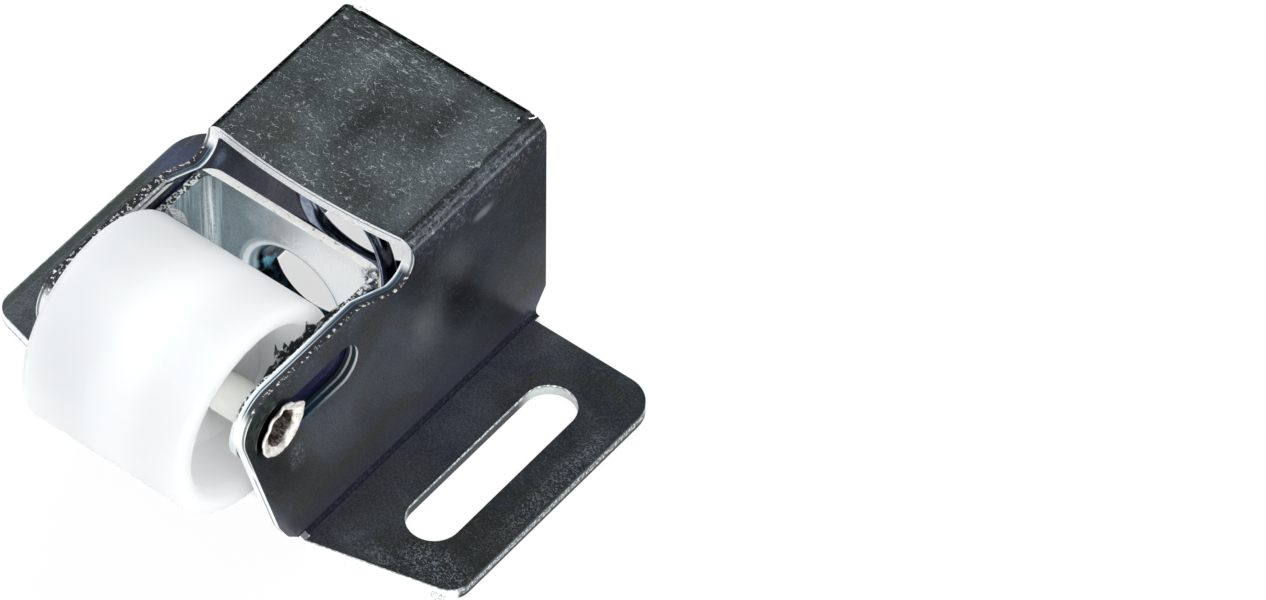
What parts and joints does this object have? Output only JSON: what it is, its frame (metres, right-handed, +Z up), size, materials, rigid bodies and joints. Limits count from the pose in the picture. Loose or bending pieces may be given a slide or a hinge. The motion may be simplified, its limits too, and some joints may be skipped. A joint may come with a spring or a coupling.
{
  "type": "roller catch",
  "caption": "Spring-loaded roller catch: a folded zinc-plated hood on slotted wings guides a sliding channel that carries a white nylon roller.",
  "frame": {"origin": "centre of the bounding box, on the plane of the wings' undersides", "axes": "+X across the catch from one wing to the other, +Y from the roller to the hood's rear wall, +Z up from the surface the wings are screwed to"},
  "size_m": [0.05, 0.0454, 0.0273],
  "materials": {
    "hood_zinc": "bright zinc plate, scratched",
    "channel_zinc": "bright zinc plate",
    "spring_steel": "blued spring wire, lightly oiled",
    "rivet_steel": "bright nickel-like plate",
    "nylon": "natural white moulded nylon, satin"
  },
  "bodies": {
    "bracket": {"hood_bracket": "hood_zinc", "compression_spring": "spring_steel"},
    "slider": {"slider_channel": "channel_zinc", "axle_rivet": "rivet_steel"},
    "wheel": {"roller": "nylon"}
  },
  "joints": [
    {"name": "slide", "type": "slide", "parent": "bracket", "child": "slider", "axis": [0, 1, 0], "range_m": [0, 0.0082], "stiffness_N_per_m": 10000, "springref_m": -0.002, "deforming": ["compression_spring"]},
    {"name": "roller_spin", "type": "hinge", "parent": "slider", "child": "wheel", "pos_m": [0, -0.01282, 0.0175], "axis": [1, 0, 0], "continuous": true}
  ]
}
